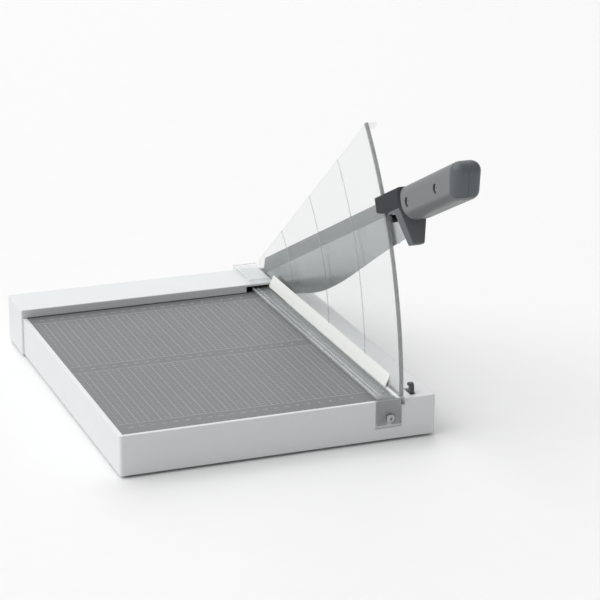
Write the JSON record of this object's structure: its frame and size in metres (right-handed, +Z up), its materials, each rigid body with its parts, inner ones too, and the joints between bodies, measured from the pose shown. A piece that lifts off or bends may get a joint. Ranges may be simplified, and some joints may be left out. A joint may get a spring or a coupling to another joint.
{
  "type": "guillotine paper cutter",
  "caption": "Lever-arm guillotine paper cutter: ruled board with a rear rail, curved blade on a pivoting arm, sprung clear clamp with a hand shield, and a blade latch.",
  "frame": {"origin": "middle of the whole cutter's footprint at table level, handle included, with the arm at rest 25.5 degrees above the board", "axes": "+X right along the front wall, +Y back towards the rail, +Z up from the table"},
  "size_m": [0.2908, 0.4831, 0.2788],
  "materials": {
    "white_plastic": "fine matt moulding",
    "deck_grey": "satin grey with a white printed ruling",
    "plate_steel": "zinc-grey sheet",
    "rubber": "matt",
    "blade_steel": "ground and polished",
    "arm_metal": "satin grey",
    "zinc": "bright zinc plate",
    "bronze": "oiled bronze",
    "spring_steel": "drawn wire",
    "black_steel": "black oxide",
    "grip_plastic": "soft-touch grey",
    "cap_plastic": "soft-touch dark grey",
    "guard_plastic": "dark blue-grey moulding",
    "black_plastic": "dark moulding",
    "clear_plastic": "clear acrylic",
    "cream_plastic": "satin cream white"
  },
  "bodies": {
    "base": {"base_tray": "white_plastic", "deck_panel": "deck_grey", "rail_cover": "white_plastic", "bottom_plate": "plate_steel", "rubber_feet": "rubber", "fixed_blade": "blade_steel", "fixed_blade_screws": "zinc", "pivot_bracket": "plate_steel", "bracket_screws": "zinc", "thrust_washer": "bronze", "pivot_bolt": "zinc", "flat_washer": "zinc", "disc_spring": "spring_steel", "lock_nut": "zinc", "down_stop": "rubber", "clamp_springs": "spring_steel", "guide_screws": "zinc", "housing_screws": "zinc", "latch_pin": "zinc"},
    "arm": {"moving_blade": "blade_steel", "arm_bar": "arm_metal", "blade_rivets": "arm_metal", "locking_stud": "zinc", "guard_bolt": "black_steel", "guard_nut": "black_steel", "hand_guard": "guard_plastic", "grip_left": "grip_plastic", "grip_right": "grip_plastic", "grip_cap": "cap_plastic", "grip_screws": "zinc", "grip_nuts": "zinc"},
    "clamp": {"clamp_bar": "clear_plastic", "clamp_profile": "cream_plastic", "blade_shield": "clear_plastic"},
    "latch": {"latch_hook": "black_plastic"}
  },
  "joints": [
    {"name": "arm_pivot", "type": "hinge", "parent": "base", "child": "arm", "pos_m": [0.1126, 0.22075, 0.03], "axis": [-1, 0, 0], "range_deg": [-22.3, 10]},
    {"name": "clamp_slide", "type": "slide", "parent": "base", "child": "clamp", "axis": [0, 0, -1], "range_m": [0, 0.0019], "stiffness_N_per_m": 2000, "springref_m": -0.003, "deforming": ["clamp_springs"]},
    {"name": "latch_pivot", "type": "hinge", "parent": "base", "child": "latch", "pos_m": [0.1249, -0.11515, 0.026], "axis": [-1, 0, 0], "range_deg": [0, 12]}
  ]
}
